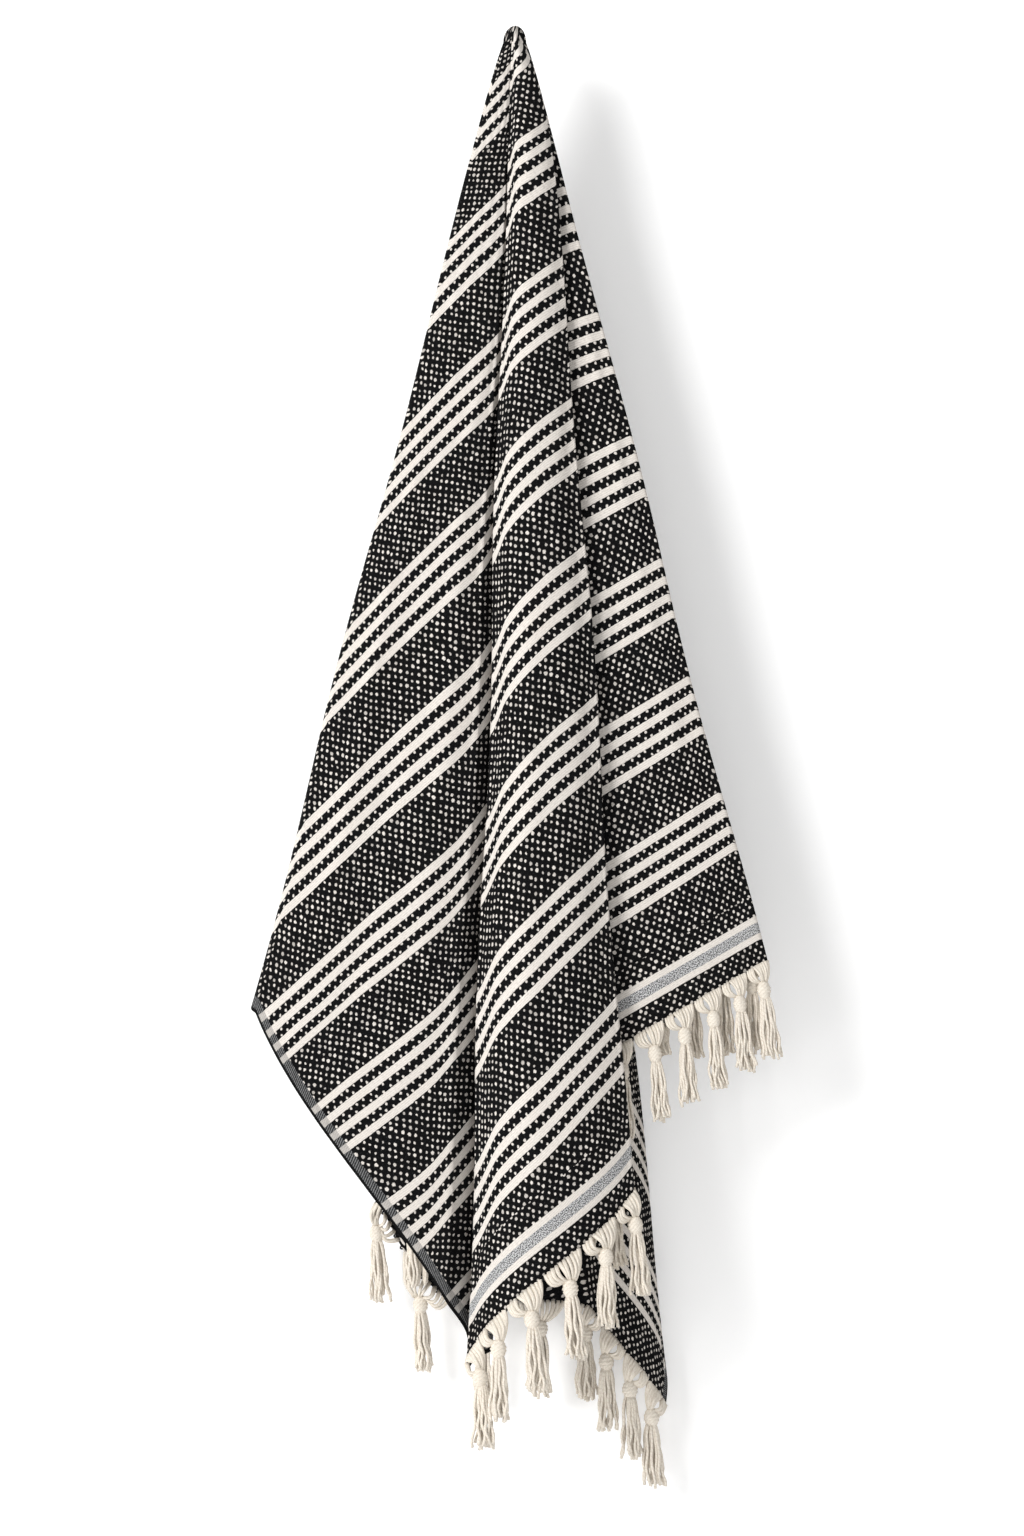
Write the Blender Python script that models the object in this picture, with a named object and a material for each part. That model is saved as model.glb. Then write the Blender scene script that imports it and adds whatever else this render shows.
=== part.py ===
"""A fringed hammam towel hung from one point of its long side, in metres, +Z up.

The cloth fans out in straight rays from the hanging point, which is the origin. Each ray has a fan
angle, measured in the flat cloth from the line across its width. +X is to the right and +Y points
away from the viewer.
"""

import collections
import math

import bmesh
import bpy
from mathutils import Vector

# The flat towel, measured from the hanging point.
WIDTH = 0.80
LENGTH_FRONT = 0.885
LENGTH_BACK = 0.965
BIAS_STRETCH = 0.045
CLOTH_THICK = 0.0016

# The bunch: how wide it is at the top, and how far apart its layers lie.
TOP_HALF_WIDTH = 0.009
TOP_ROUND = 0.011
TOP_HALF_DEPTH = 0.0205
TOP_FADE = 0.03
WIDEST_BEARING = 15.0
LAYER_PITCH_TOP = 0.0026
LAYER_PITCH_GROWTH = 0.0076
MIDDLE_LEVEL = 5
FOLD_ROUND = 0.5
SHOULDER_RUN = 0.06
SAG_LATE = 1.6
WANDER = 0.0022
WANDER_WAVE = 0.47
WANDER_FANS = 9.0

# The fringe.
SEAM_GAP = 0.0006
STRIP_DEEP = 0.0042
TASSELS = 22
TASSEL_START = 0.64
TASSEL_FINISH = 0.5
TASSEL_GROWTH = 1.5
COMMON_SPACING = 0.035
TASSEL_LENGTH = 0.088
LENGTH_GROWTH = 0.35
ROOT_DEPTH = 0.6
ROOT_RUN = 0.0175
ROOT_OUTWARD = 0.55
TASSEL_LEAN = 0.05

# The mesh.
ROW_FRACTIONS = (0.0, 0.025, 0.07, 0.14, 0.24, 0.36, 0.5, 0.64, 0.78, 0.9, 1.0)
DEGREES_A_COLUMN = 3.6
CROWN_COLUMNS = 3
SAG_COLUMNS = 90
FOLD_STEPS = 4
CROWDED = 0.11
SMALL_TURN = 0.05
SMALL_DROP = 0.001
TINY = 1e-6
SHARP_ANGLE = 50.0

# The layers of the bunch, in order along the cloth. The bearing is how far a layer's edge leans to the
# right of straight down, and the shoulder is how far it soon stands out beside that line. Level 0 is
# the front one, the crown is how many levels the layer bulges forward, and the sag is how much longer
# it hangs inside. Where it is round, its rays crowd towards that edge as the cloth turns away there.
Layer = collections.namedtuple(
    "Layer",
    "name fan_from fan_to bearing_from bearing_to shoulder_from shoulder_to"
    " level_from level_to crown sag round_from round_to",
)
LAYERS = (
    Layer("side flap", 90.0, 82.3, 7.1, 14.1, 0.0, 0.0, 4, 4, 0.0, 0.0, 0.0, 0.2),
    Layer("right panel", 81.5, 66.0, 14.3, 1.2, 0.0, 0.0, 3, 2.8, 0.5, 0.0, 0.2, 0.0),
    Layer("right tuck", 65.4, 58.4, 1.2, 3.9, 0.0, 0.024, 1.2, 1, 0.0, 0.0, 0.0, 0.0),
    Layer("middle panel", 57.4, 48.8, 4.0, -1.8, 0.026, 0.0, 0, 0, 2.4, 0.0, 0.3, 0.6),
    Layer("left tuck", 47.5, 47.2, -1.7, -1.1, 0.0, 0.0, 1, 1, 0.0, 0.0, 0.0, 0.0),
    Layer("left valley", 46.9, 45.2, -2.05, -3.1, 0.0, 0.0, 3.9, 1.7, 0.0, 0.0, 0.8, 0.0),
    Layer("left panel", 45.2, 29.2, -3.1, -14.3, 0.0, 0.0, 1.7, 2.2, 0.6, 0.0, 0.0, 0.3),
    Layer("behind the panels", 28.0, 1.6, -14.0, 12.2, 0.0, 0.0, 5, 5, 0.2, 0.0, 0.0, 0.0),
    Layer("second behind", 0.6, -24.6, 12.2, -13.0, 0.0, 0.0, 6, 6, -0.2, 0.0, 0.0, 0.0),
    Layer("rearmost", -27.2, -47.6, -12.8, 6.1, 0.0, 0.0, 12.2, 12.2, -0.4, 0.0, 0.0, 0.0),
    Layer("lower roll", -50.4, -56.2, 6.2, 3.3, 0.0, 0.0, 11.2, 11.2, 1.0, 0.0, 0.4, 0.0),
    Layer("lower back", -56.2, -62.8, 3.3, -6.4, 0.0, 0.0, 11.2, 11.2, 0.3, 0.045, 0.0, 0.0),
    Layer("inner back", -63.8, -73.6, -6.3, 3.8, 0.0, 0.0, 9, 9, 0.0, 0.0, 0.0, 0.0),
    Layer("inner return", -74.6, -83.6, 3.8, -5.0, 0.0, 0.0, 8, 8, 0.0, 0.0, 0.0, 0.0),
    Layer("inner end", -84.6, -90.0, -5.0, -0.2, 0.0, 0.0, 7, 7, 0.0, 0.0, 0.0, 0.0),
)

# A tassel, from its root down: the share of its length, its half width and its half depth.
Ring = collections.namedtuple("Ring", "down half_width half_depth")
TASSEL_RINGS = (
    Ring(0.0, 0.0008, 0.0005),
    Ring(0.12, 0.0044, 0.0020),
    Ring(0.19, 0.0050, 0.0026),
    Ring(0.23, 0.0072, 0.0038),
    Ring(0.35, 0.0072, 0.0038),
    Ring(0.40, 0.0048, 0.0026),
    Ring(0.55, 0.0074, 0.0032),
    Ring(1.0, 0.0096, 0.0034),
)

CLOTH_BLACK = (0.018, 0.018, 0.020, 1.0)
YARN_CREAM = (0.80, 0.74, 0.65, 1.0)
CLOTH_ROUGHNESS = 0.95
YARN_ROUGHNESS = 0.9


def mix(start, end, share):
    return start + (end - start) * share


Ray = collections.namedtuple("Ray", "bearing shoulder level bow sag")


def crowded(part, round_from, round_to):
    """How far across a layer a ray lies, where its rays crowd towards a round edge."""
    rest = 1 - part
    eased = part * part * (3 - 2 * part)
    return eased + part * rest * rest * (1 - round_from) - part * part * rest * (1 - round_to)


def on_layer(layer, fan):
    part = (fan - layer.fan_from) / (layer.fan_to - layer.fan_from)
    place = crowded(part, layer.round_from, layer.round_to)
    bearing = mix(layer.bearing_from, layer.bearing_to, place)
    shoulder = mix(layer.shoulder_from, layer.shoulder_to, place)
    level = mix(layer.level_from, layer.level_to, part) - layer.crown * math.sin(math.pi * part)
    sag = layer.sag * math.sin(math.pi * part ** SAG_LATE)
    return Ray(bearing, shoulder, level, 0.0, sag)


def on_fold(before, after, fan):
    """A ray on the round fold that joins two layers, which bows out past their edges."""
    part = (fan - before.fan_to) / (after.fan_from - before.fan_to)
    turn = math.pi * part
    level = mix(before.level_to, after.level_from, (1 - math.cos(turn)) / 2)
    side = math.copysign(1.0, before.bearing_to - before.bearing_from)
    bow = side * math.sqrt(abs(after.level_from - before.level_to)) * math.sin(turn)
    shoulder = mix(before.shoulder_to, after.shoulder_from, part)
    return Ray(mix(before.bearing_to, after.bearing_from, part), shoulder, level, bow, 0.0)


def ray_at(fan):
    for index, layer in enumerate(LAYERS):
        if fan >= layer.fan_to:
            if fan <= layer.fan_from:
                return on_layer(layer, fan)
            return on_fold(LAYERS[index - 1], layer, fan)
    return on_layer(LAYERS[-1], fan)


def flat_reach(fan):
    """Length of the ray in the flat towel, from the hanging point to the cloth's edge."""
    angle = math.radians(fan)
    across, along = abs(math.cos(angle)), abs(math.sin(angle))
    length = LENGTH_FRONT if fan > 0 else LENGTH_BACK
    return min(WIDTH / max(across, TINY), length / max(along, TINY))


def hung_drop(fan):
    """How far below the top the ray ends. Cloth that hangs on the bias stretches a little."""
    ray = ray_at(fan)
    stretch = 1 + BIAS_STRETCH * math.sin(2 * math.radians(fan)) ** 2 + ray.sag
    return flat_reach(fan) * stretch * math.cos(math.radians(ray.bearing))


def hung_point(fan, drop):
    ray = ray_at(fan)
    pitch = LAYER_PITCH_TOP + LAYER_PITCH_GROWTH * drop
    top_x = TOP_HALF_WIDTH * ray.bearing / WIDEST_BEARING
    shoulder = ray.shoulder * (1 - math.exp(-drop / SHOULDER_RUN))
    phase = math.tau * drop / WANDER_WAVE + fan / WANDER_FANS
    wander = WANDER * min(1.0, drop / WANDER_WAVE) * math.sin(phase)
    lean = drop * math.tan(math.radians(ray.bearing))
    x = top_x + shoulder + lean + ray.bow * pitch * FOLD_ROUND + wander
    y = (ray.level - MIDDLE_LEVEL) * pitch
    off_top = (top_x / TOP_HALF_WIDTH) ** 2 + (y / TOP_HALF_DEPTH) ** 2
    return Vector((x, y, -drop - TOP_ROUND * off_top * math.exp(-drop / TOP_FADE)))


def corner_fans():
    front = math.degrees(math.atan2(LENGTH_FRONT, WIDTH))
    back = -math.degrees(math.atan2(LENGTH_BACK, WIDTH))
    return front, back


def tassel_places(corner):
    """Each tassel's fan angle and size. They stand steadily wider apart from the near selvedge on."""
    length = LENGTH_FRONT if corner > 0 else LENGTH_BACK
    scale = WIDTH / (TASSEL_GROWTH - 1)
    steps = TASSELS - 1 + TASSEL_START + TASSEL_FINISH
    places = []
    for k in range(TASSELS):
        grown = TASSEL_GROWTH ** ((k + TASSEL_START) / steps)
        spacing = scale * grown * math.log(TASSEL_GROWTH) / steps
        fan = math.degrees(math.atan2(length, scale * (grown - 1)))
        places.append((math.copysign(fan, corner), math.sqrt(spacing / COMMON_SPACING)))
    return places


def fan_columns():
    """Fan angles of the mesh's columns: along each layer, round each fold, at corners and tassels."""
    kept = list(corner_fans())
    kept += [fan for corner in corner_fans() for fan, size in tassel_places(corner)]
    fans = []
    for index, layer in enumerate(LAYERS):
        bends = round(CROWN_COLUMNS * abs(layer.crown) + SAG_COLUMNS * abs(layer.sag))
        count = bends + max(1, round((layer.fan_from - layer.fan_to) / DEGREES_A_COLUMN))
        fans += [mix(layer.fan_from, layer.fan_to, step / count) for step in range(count + 1)]
        fold_from = LAYERS[index - 1].fan_to if index else layer.fan_from
        fans += [mix(fold_from, layer.fan_from, step / FOLD_STEPS) for step in range(1, FOLD_STEPS)]
    clear = {fan for fan in fans if all(abs(fan - other) > CROWDED for other in kept)}
    return sorted(clear.union(kept), reverse=True)


def thick_sheet(mesh, rows):
    """A closed sheet of CLOTH_THICK round the grid of points."""
    high, wide = len(rows), len(rows[0])
    faces_of = {}
    for side in (-1, 1):
        for i in range(high):
            for j in range(wide):
                along = rows[i][min(j + 1, wide - 1)] - rows[i][max(j - 1, 0)]
                down = rows[min(i + 1, high - 1)][j] - rows[max(i - 1, 0)][j]
                normal = along.cross(down).normalized()
                faces_of[side, i, j] = mesh.verts.new(rows[i][j] + normal * side * CLOTH_THICK / 2)
    for i in range(high - 1):
        for j in range(wide - 1):
            ring = [(i, j), (i, j + 1), (i + 1, j + 1), (i + 1, j)]
            mesh.faces.new([faces_of[(1, *spot)] for spot in ring])
            mesh.faces.new([faces_of[(-1, *spot)] for spot in reversed(ring)])
    rim = [(0, j) for j in range(wide)] + [(i, wide - 1) for i in range(1, high)]
    rim += [(high - 1, j) for j in range(wide - 2, -1, -1)] + [(i, 0) for i in range(high - 2, 0, -1)]
    for spot, after in zip(rim, rim[1:] + rim[:1]):
        ends = ((1, *after), (1, *spot), (-1, *spot), (-1, *after))
        mesh.faces.new([faces_of[end] for end in ends])


def finished(name, mesh, material):
    bmesh.ops.recalc_face_normals(mesh, faces=mesh.faces)
    data = bpy.data.meshes.new(name)
    mesh.to_mesh(data)
    mesh.free()
    data.shade_smooth()
    data.set_sharp_from_angle(angle=math.radians(SHARP_ANGLE))
    data.materials.append(material)
    piece = bpy.data.objects.new(name, data)
    bpy.context.scene.collection.objects.link(piece)
    return piece


def towel_cloth(material):
    mesh = bmesh.new()
    fans = fan_columns()
    drops = [hung_drop(fan) for fan in fans]
    rows = [[hung_point(fan, drop * share) for fan, drop in zip(fans, drops)] for share in ROW_FRACTIONS]
    thick_sheet(mesh, rows)
    return finished("towel_cloth", mesh, material)


def end_fans(corner):
    """The fan columns of one short end, from its corner to the near selvedge."""
    if corner > 0:
        return [fan for fan in fan_columns() if fan >= corner]
    return [fan for fan in fan_columns() if fan <= corner]


def outward(fan):
    """Unit vector in the cloth, square to its end edge and away from it."""
    step = math.copysign(SMALL_TURN, fan)
    beside = fan + step if abs(fan) < 90 - SMALL_TURN else fan - step
    end = hung_point(fan, hung_drop(fan))
    edge = (hung_point(beside, hung_drop(beside)) - end).normalized()
    ray = (hung_point(fan, hung_drop(fan) + SMALL_DROP) - end).normalized()
    return (ray - edge * ray.dot(edge)).normalized()


def edge_point(fan, beyond):
    return hung_point(fan, hung_drop(fan)) + outward(fan) * beyond


def tassel_centre(root, square, lean, run):
    """The tassel leaves square to the edge, then hangs down, and keeps to its layer's lean."""
    leaving = min(run, ROOT_RUN) * ROOT_OUTWARD
    falling = run - leaving
    return root + square * leaving + Vector((TASSEL_LEAN * falling, lean * falling, -falling))


def add_tassel(mesh, fan, size):
    root = edge_point(fan, SEAM_GAP + STRIP_DEEP * ROOT_DEPTH)
    lean = (ray_at(fan).level - MIDDLE_LEVEL) * LAYER_PITCH_GROWTH
    square = outward(fan)
    length = TASSEL_LENGTH * mix(1.0, size, LENGTH_GROWTH)
    rings = []
    for ring in TASSEL_RINGS:
        centre = tassel_centre(root, square, lean, ring.down * length)
        wide, deep = ring.half_width * size, ring.half_depth
        offsets = ((wide, 0, 0), (0, deep, 0), (-wide, 0, 0), (0, -deep, 0))
        rings.append([mesh.verts.new(centre + Vector(offset)) for offset in offsets])
    for upper, lower in zip(rings, rings[1:]):
        for k in range(4):
            mesh.faces.new((upper[k], upper[(k + 1) % 4], lower[(k + 1) % 4], lower[k]))
    mesh.faces.new(rings[0])
    mesh.faces.new(reversed(rings[-1]))


def fringe(name, corner, material):
    fans = end_fans(corner)
    strip = bmesh.new()
    thick_sheet(strip, [[edge_point(fan, SEAM_GAP + deep) for fan in fans] for deep in (0, STRIP_DEEP)])
    piece = finished(name, strip, material)
    locks = bmesh.new()
    for fan, size in tassel_places(corner):
        add_tassel(locks, fan, size)
    tassels = finished(name + "_locks", locks, material)
    tassels.hide_render = True
    tassels.display_type = "WIRE"
    union = piece.modifiers.new("tassels", "BOOLEAN")
    union.operation = "UNION"
    union.object = tassels
    return piece


def plain_material(name, colour, roughness):
    made = bpy.data.materials.new(name)
    made.use_nodes = True
    shader = made.node_tree.nodes["Principled BSDF"]
    shader.inputs["Base Color"].default_value = colour
    shader.inputs["Roughness"].default_value = roughness
    shader.inputs["Metallic"].default_value = 0.0
    return made


def main():
    for old in list(bpy.data.objects):
        bpy.data.objects.remove(old)
    front, back = corner_fans()
    towel_cloth(plain_material("woven_cotton", CLOTH_BLACK, CLOTH_ROUGHNESS))
    fringe("fringe_front", front, plain_material("front_yarn", YARN_CREAM, YARN_ROUGHNESS))
    fringe("fringe_back", back, plain_material("back_yarn", YARN_CREAM, YARN_ROUGHNESS))


main()
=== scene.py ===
"""A black and cream hammam towel that hangs from one point of its long side, with tasselled ends.

The cloth fans out in straight rays from the hanging point, which is the origin. Each ray has a fan
angle, measured in the flat cloth from the line across its width. Lengths are in metres and angles in
degrees. +X is to the right, +Y points away from the viewer and +Z is up.
"""

import collections
import math
import random

import bpy
from bpy.props import FloatProperty, FloatVectorProperty, IntProperty, PointerProperty
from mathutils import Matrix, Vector


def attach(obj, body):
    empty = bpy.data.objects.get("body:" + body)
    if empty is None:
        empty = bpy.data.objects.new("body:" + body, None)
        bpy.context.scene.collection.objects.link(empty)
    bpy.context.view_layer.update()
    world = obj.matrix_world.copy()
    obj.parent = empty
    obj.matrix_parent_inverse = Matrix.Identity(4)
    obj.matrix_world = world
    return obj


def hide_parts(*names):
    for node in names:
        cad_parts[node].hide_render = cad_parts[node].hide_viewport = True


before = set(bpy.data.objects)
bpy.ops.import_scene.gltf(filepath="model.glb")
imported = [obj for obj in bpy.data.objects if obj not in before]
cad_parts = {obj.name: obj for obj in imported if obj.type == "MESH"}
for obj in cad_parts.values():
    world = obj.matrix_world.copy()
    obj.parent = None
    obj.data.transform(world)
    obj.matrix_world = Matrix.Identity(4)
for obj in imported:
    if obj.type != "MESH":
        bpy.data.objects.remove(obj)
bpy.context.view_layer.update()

bl_info = {
    "name": "Hanging hammam towel",
    "version": (1, 0, 0),
    "blender": (4, 5, 0),
    "location": "View3D > Sidebar > Towel",
    "description": "Builds a woven towel that hangs in folds, with its tassels and a plain studio",
    "category": "Object",
}


# --- Sizes and colours ---


def length(name, description, default):
    return FloatProperty(name=name, description=description, default=default, unit="LENGTH", precision=4)


def share(name, description, default):
    return FloatProperty(name=name, description=description, default=default, min=0.0, max=1.0)


def count(name, description, default):
    return IntProperty(name=name, description=description, default=default, min=1)


def colour(name, description, default):
    return FloatVectorProperty(
        name=name, description=description, default=default, size=3, subtype="COLOR", min=0.0, max=1.0
    )


class TowelClothSizes(bpy.types.PropertyGroup):
    width: length("Width", "Width of the flat cloth", 0.80)
    length_front: length("Front length", "From the hanging point to the front short end", 0.885)
    length_back: length("Back length", "From the hanging point to the back short end", 0.965)
    bias_stretch: share("Bias stretch", "How much longer the cloth hangs on the bias", 0.045)
    thickness: length("Thickness", "Thickness of the woven cloth", 0.0013)
    rows: count("Rows", "Mesh rows from the hanging point to the edge", 110)
    columns_a_degree: FloatProperty(
        name="Columns a degree", description="Mesh columns in a degree of the fan", default=2.4, min=0.5
    )
    fold_columns: count("Fold columns", "Mesh columns round one fold", 10)


class TowelWeaveLook(bpy.types.PropertyGroup):
    repeat: length("Repeat", "Distance from one group of bands to the next", 0.108)
    band: length("Cream band", "Width of one cream band", 0.0071)
    row: length("Row", "Height of one row of the spotted weave", 0.0042)
    cell: length("Cell", "Distance between two spots of one row", 0.0086)
    spot: length("Spot", "Radius of a pale spot", 0.00140)
    black: colour("Black", "Colour of the dark warp", (0.0035, 0.0035, 0.0038))
    charcoal: colour("Charcoal", "Lighter flecks in the dark warp", (0.018, 0.018, 0.019))
    cream: colour("Cream", "Colour of the cream weft", (0.73, 0.685, 0.635))
    # Painted shade: this darker colour is laid into the grooves between the ribs of a cream band.
    cream_painted_rib_shade: colour("Cream shade", "Colour between the ribs of a cream band", (0.38, 0.31, 0.25))
    grey: colour("Grey", "Pale threads of the speckled band and the selvedge", (0.47, 0.47, 0.47))


class TowelFringeSizes(bpy.types.PropertyGroup):
    tassels: count("Tassels", "Tassels along one short end", 22)
    growth: FloatProperty(
        name="Growth",
        description="How many times wider apart they stand at the far selvedge",
        default=1.5,
        min=1.01,
    )
    length: length("Length", "From the cloth's edge to the tips of the strands", 0.088)
    root: length("Root", "Length of the splayed yarns above the knot", 0.0175)
    knot: length("Knot", "Height of the wrapped knot", 0.0165)
    knot_radius: length("Knot radius", "Half width of the knot", 0.0070)
    strand_radius: length("Strand radius", "Half the thickness of a strand", 0.00145)
    strands: count("Strands", "Strands in one tassel", 17)
    pleats: count("Pleats", "Pleats of splayed yarn in one root", 10)
    yarn: colour("Yarn", "Colour of the cotton yarn", (0.78, 0.725, 0.64))
    # Yarn tone and painted shade: the fibres drift towards this colour at random, and it is painted into
    # the hollows between the plies as shade.
    yarn_tone_and_painted_shade: colour("Yarn shade", "Colour in the hollows of the yarn", (0.46, 0.37, 0.275))


class TowelStudioLook(bpy.types.PropertyGroup):
    wall_behind: length("Wall", "Distance of the wall behind the hanging point", 0.11)
    floor_below: length("Floor", "Distance of the floor below the hanging point", 1.50)
    camera_away: length("Camera", "Distance of the camera from the hanging point", 4.0)
    view_middle: length("View middle", "How far below the hanging point the camera looks", 0.689)
    wall: colour("Wall", "Colour of the wall and the floor", (0.90, 0.90, 0.90))


# --- The hung shape ---

TOP_HALF_WIDTH = 0.009
TOP_ROUND = 0.011
TOP_HALF_DEPTH = 0.0205
TOP_FADE = 0.03
WIDEST_BEARING = 15.0
LAYER_PITCH_TOP = 0.0026
LAYER_PITCH_GROWTH = 0.0076
MIDDLE_LEVEL = 5
FOLD_ROUND = 0.5
SHOULDER_RUN = 0.06
SAG_LATE = 1.6
WANDER = 0.0022
WANDER_WAVE = 0.47
WANDER_FANS = 9.0
SMALL_TURN = 0.05
SMALL_DROP = 0.001
TINY = 1e-6

# The layers of the bunch, in order along the cloth. The bearing is how far a layer's edge leans to the
# right of straight down, and the shoulder is how far it soon stands out beside that line. Level 0 is
# the front one, the crown is how many levels the layer bulges forward, and the sag is how much longer
# it hangs inside. Where it is round, its rays crowd towards that edge as the cloth turns away there.
Layer = collections.namedtuple(
    "Layer",
    "name fan_from fan_to bearing_from bearing_to shoulder_from shoulder_to"
    " level_from level_to crown sag round_from round_to fine",
)
LAYERS = (
    Layer("side flap", 90.0, 82.3, 7.1, 14.1, 0.0, 0.0, 4, 4, 0.0, 0.0, 0.0, 0.2, 0.5),
    Layer("right panel", 81.5, 66.0, 14.3, 1.2, 0.0, 0.0, 3, 2.8, 0.5, 0.0, 0.2, 0.0, 1.0),
    Layer("right tuck", 65.4, 58.4, 1.2, 3.9, 0.0, 0.024, 1.2, 1, 0.0, 0.0, 0.0, 0.0, 0.7),
    Layer("middle panel", 57.4, 48.8, 4.0, -1.8, 0.026, 0.0, 0, 0, 2.4, 0.0, 0.3, 0.6, 2.8),
    Layer("left tuck", 47.5, 47.2, -1.7, -1.1, 0.0, 0.0, 1, 1, 0.0, 0.0, 0.0, 0.0, 1.0),
    Layer("left valley", 46.9, 45.2, -2.05, -3.1, 0.0, 0.0, 3.9, 1.7, 0.0, 0.0, 0.8, 0.0, 5.0),
    Layer("left panel", 45.2, 29.2, -3.1, -14.3, 0.0, 0.0, 1.7, 2.2, 0.6, 0.0, 0.0, 0.3, 1.2),
    Layer("behind the panels", 28.0, 1.6, -14.0, 12.2, 0.0, 0.0, 5, 5, 0.2, 0.0, 0.0, 0.0, 0.4),
    Layer("second behind", 0.6, -24.6, 12.2, -13.0, 0.0, 0.0, 6, 6, -0.2, 0.0, 0.0, 0.0, 0.4),
    Layer("rearmost", -27.2, -47.6, -12.8, 6.1, 0.0, 0.0, 12.2, 12.2, -0.4, 0.0, 0.0, 0.0, 0.6),
    Layer("lower roll", -50.4, -56.2, 6.2, 3.3, 0.0, 0.0, 11.2, 11.2, 1.0, 0.0, 0.4, 0.0, 2.0),
    Layer("lower back", -56.2, -62.8, 3.3, -6.4, 0.0, 0.0, 11.2, 11.2, 0.3, 0.045, 0.0, 0.0, 1.5),
    Layer("inner back", -63.8, -73.6, -6.3, 3.8, 0.0, 0.0, 9, 9, 0.0, 0.0, 0.0, 0.0, 0.5),
    Layer("inner return", -74.6, -83.6, 3.8, -5.0, 0.0, 0.0, 8, 8, 0.0, 0.0, 0.0, 0.0, 0.5),
    Layer("inner end", -84.6, -90.0, -5.0, -0.2, 0.0, 0.0, 7, 7, 0.0, 0.0, 0.0, 0.0, 0.5),
)
Ray = collections.namedtuple("Ray", "bearing shoulder level bow sag")


def mix(start, end, part):
    return start + (end - start) * part


def smooth(start, end, slope_from, slope_to, part):
    """A smooth curve from the start to the end, with a slope at each."""
    rest = 1 - part
    eased = part * part * (3 - 2 * part)
    return mix(start, end, eased) + part * rest * rest * slope_from - part * part * rest * slope_to


def across_layer(layer, fan):
    """How far across the layer a ray lies, seen from the front, and how far along the cloth."""
    part = (fan - layer.fan_from) / (layer.fan_to - layer.fan_from)
    return smooth(0.0, 1.0, 1 - layer.round_from, 1 - layer.round_to, part), part


def on_layer(layer, fan):
    place, part = across_layer(layer, fan)
    bearing = mix(layer.bearing_from, layer.bearing_to, place)
    shoulder = mix(layer.shoulder_from, layer.shoulder_to, place)
    level = mix(layer.level_from, layer.level_to, part) - layer.crown * math.sin(math.pi * part)
    sag = layer.sag * math.sin(math.pi * part ** SAG_LATE)
    return Ray(bearing, shoulder, level, 0.0, sag)


def on_fold(before, after, fan):
    """A ray on the round fold that joins two layers, which bows out past their edges."""
    part = (fan - before.fan_to) / (after.fan_from - before.fan_to)
    turn = math.pi * part
    level = mix(before.level_to, after.level_from, (1 - math.cos(turn)) / 2)
    side = math.copysign(1.0, before.bearing_to - before.bearing_from)
    bow = side * math.sqrt(abs(after.level_from - before.level_to)) * math.sin(turn)
    shoulder = mix(before.shoulder_to, after.shoulder_from, part)
    return Ray(mix(before.bearing_to, after.bearing_from, part), shoulder, level, bow, 0.0)


def ray_at(fan):
    for index, layer in enumerate(LAYERS):
        if fan >= layer.fan_to:
            if fan <= layer.fan_from:
                return on_layer(layer, fan)
            return on_fold(LAYERS[index - 1], layer, fan)
    return on_layer(LAYERS[-1], fan)


def end_length(cloth, fan):
    return cloth.length_front if fan > 0 else cloth.length_back


def flat_reach(cloth, fan):
    """Length of the ray in the flat towel, from the hanging point to the cloth's edge."""
    angle = math.radians(fan)
    across, along = abs(math.cos(angle)), abs(math.sin(angle))
    return min(cloth.width / max(across, TINY), end_length(cloth, fan) / max(along, TINY))


def hung_drop(cloth, fan):
    """How far below the top the ray ends. Cloth that hangs on the bias stretches a little."""
    ray = ray_at(fan)
    stretch = 1 + cloth.bias_stretch * math.sin(2 * math.radians(fan)) ** 2 + ray.sag
    return flat_reach(cloth, fan) * stretch * math.cos(math.radians(ray.bearing))


def beside_ray(ray, drop):
    """How far the bunched top and the shoulder carry a point sideways, off a plain ray."""
    top_x = TOP_HALF_WIDTH * ray.bearing / WIDEST_BEARING
    return top_x, ray.shoulder * (1 - math.exp(-drop / SHOULDER_RUN))


def hung_point(fan, drop):
    ray = ray_at(fan)
    pitch = LAYER_PITCH_TOP + LAYER_PITCH_GROWTH * drop
    top_x, shoulder = beside_ray(ray, drop)
    phase = math.tau * drop / WANDER_WAVE + fan / WANDER_FANS
    wander = WANDER * min(1.0, drop / WANDER_WAVE) * math.sin(phase)
    lean = drop * math.tan(math.radians(ray.bearing))
    x = top_x + shoulder + lean + ray.bow * pitch * FOLD_ROUND + wander
    y = (ray.level - MIDDLE_LEVEL) * pitch
    off_top = (top_x / TOP_HALF_WIDTH) ** 2 + (y / TOP_HALF_DEPTH) ** 2
    return Vector((x, y, -drop - TOP_ROUND * off_top * math.exp(-drop / TOP_FADE)))


def corner_fans(cloth):
    front = math.degrees(math.atan2(cloth.length_front, cloth.width))
    back = -math.degrees(math.atan2(cloth.length_back, cloth.width))
    return front, back


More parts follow.
